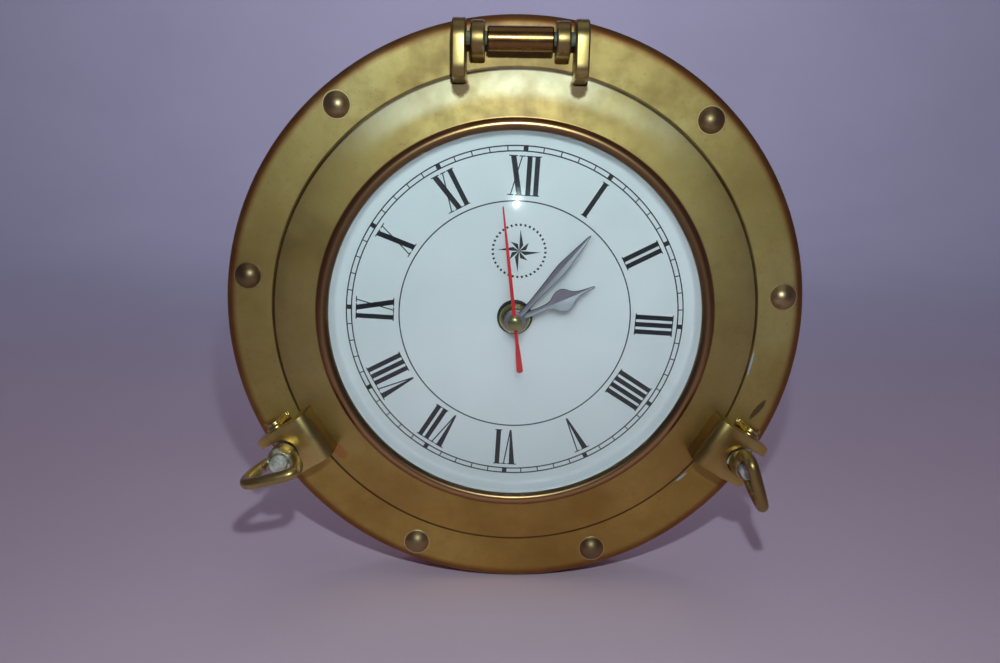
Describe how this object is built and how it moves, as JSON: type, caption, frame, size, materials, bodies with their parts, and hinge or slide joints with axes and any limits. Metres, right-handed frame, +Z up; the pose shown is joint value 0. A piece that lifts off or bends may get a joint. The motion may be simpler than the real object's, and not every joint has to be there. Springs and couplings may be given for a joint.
{
  "type": "ships deck clock",
  "caption": "Wall clock in a round porthole case: a flange, a top-hinged glazed door held by two swing-bolt dogs with stirrup nuts, a Roman dial and a battery movement.",
  "frame": {"origin": "on the clock's axis, in the plane of the flange's back that lies against the wall", "axes": "+Y into the wall, so the dial faces -Y; +Z up through the door's hinge; +X to the right seen from the front"},
  "size_m": [0.2286, 0.0647, 0.2286],
  "materials": {
    "brass": "aged satin brass, mottled",
    "dark_brass": "darker reddish brass",
    "steel": "plain steel",
    "hand_steel": "grey metal, faceted",
    "red_hand": "red paint",
    "enamel": "white enamel, satin",
    "glass": "clear, domed",
    "rubber": "matt",
    "black_plastic": "moulded",
    "white_plastic": "moulded",
    "board": "dark brown pressed fibre board",
    "circuit": "green laminate",
    "copper": "enamelled copper wire",
    "cell": "printed sleeve"
  },
  "bodies": {
    "base": {"base_flange": "brass", "rivet_1": "dark_brass", "rivet_2": "dark_brass", "rivet_3": "dark_brass", "rivet_4": "dark_brass", "rivet_5": "dark_brass", "rivet_6": "dark_brass", "back_board": "board", "hanger_plate": "steel", "back_screw_1": "steel", "back_screw_2": "steel", "back_screw_3": "steel", "back_screw_4": "steel", "base_knuckle_left": "brass", "base_knuckle_right": "brass", "hinge_pin": "steel", "hinge_barrel": "dark_brass", "dial_pan": "enamel", "dial_washer": "rubber", "mounting_nut": "brass", "movement_case": "black_plastic", "movement_cover": "black_plastic", "battery": "cell", "contact_negative": "steel", "contact_positive": "steel", "stator": "steel", "coil": "copper", "circuit_board": "circuit", "dog_bracket_left": "brass", "dog_bracket_right": "brass", "dog_pin_left": "dark_brass", "dog_pin_right": "dark_brass"},
    "door": {"door_ring": "brass", "door_hinge_lug_left": "brass", "door_hinge_lug_right": "brass", "glass_dome": "glass", "glass_retaining_ring": "brass", "fork_lug_left": "brass", "fork_lug_right": "brass"},
    "dog_left": {"swing_bolt_left": "steel"},
    "nut_left": {"stirrup_nut_left": "dark_brass"},
    "dog_right": {"swing_bolt_right": "steel"},
    "nut_right": {"stirrup_nut_right": "dark_brass"},
    "minute": {"minute_hand": "hand_steel", "minute_pinion": "brass"},
    "hour": {"hour_hand": "hand_steel", "hour_wheel": "white_plastic"},
    "setting": {"motion_wheel": "white_plastic", "setting_knob": "white_plastic"},
    "seconds": {"second_hand": "red_hand", "hand_cap": "brass", "seconds_wheel": "white_plastic"},
    "step": {"intermediate_wheel": "white_plastic"},
    "rotor": {"rotor": "white_plastic"}
  },
  "joints": [
    {"name": "door_hinge", "type": "hinge", "parent": "base", "child": "door", "pos_m": [0, -0.0336, 0.105], "axis": [-1, 0, 0], "range_deg": [0, 110]},
    {"name": "dog_swing_left", "type": "hinge", "parent": "base", "child": "dog_left", "pos_m": [-0.09056, -0.0298, -0.05313], "axis": [0.506, 0, -0.8625], "range_deg": [0, 90]},
    {"name": "nut_spin_left", "type": "hinge", "parent": "dog_left", "child": "nut_left", "pos_m": [-0.09056, -0.043, -0.05313], "axis": [0, 1, 0], "continuous": true},
    {"name": "dog_swing_right", "type": "hinge", "parent": "base", "child": "dog_right", "pos_m": [0.09056, -0.0298, -0.05313], "axis": [0.506, 0, 0.8625], "range_deg": [0, 90]},
    {"name": "nut_spin_right", "type": "hinge", "parent": "dog_right", "child": "nut_right", "pos_m": [0.09056, -0.043, -0.05313], "axis": [0, 1, 0], "continuous": true},
    {"name": "minute_spin", "type": "hinge", "parent": "base", "child": "minute", "pos_m": [0, -0.02, 0], "axis": [0, 1, 0], "continuous": true},
    {"name": "hour_spin", "type": "hinge", "parent": "base", "child": "hour", "pos_m": [0, -0.02, 0], "axis": [0, 1, 0], "continuous": true},
    {"name": "setting_spin", "type": "hinge", "parent": "base", "child": "setting", "pos_m": [0.00056, -0.02, 0.01199], "axis": [0, 1, 0], "continuous": true},
    {"name": "seconds_spin", "type": "hinge", "parent": "base", "child": "seconds", "pos_m": [0, -0.02, 0], "axis": [0, 1, 0], "continuous": true},
    {"name": "step_spin", "type": "hinge", "parent": "base", "child": "step", "pos_m": [-0.01024, -0.02, 0.00231], "axis": [0, 1, 0], "continuous": true},
    {"name": "rotor_spin", "type": "hinge", "parent": "base", "child": "rotor", "pos_m": [-0.01238, -0.02, 0.00918], "axis": [0, 1, 0], "continuous": true}
  ],
  "couplings": [
    {"joint": "hour_spin", "follows": "minute_spin", "ratio": 0.083333},
    {"joint": "setting_spin", "follows": "minute_spin", "ratio": -0.33333},
    {"joint": "step_spin", "follows": "seconds_spin", "ratio": -6},
    {"joint": "rotor_spin", "follows": "seconds_spin", "ratio": 30}
  ]
}
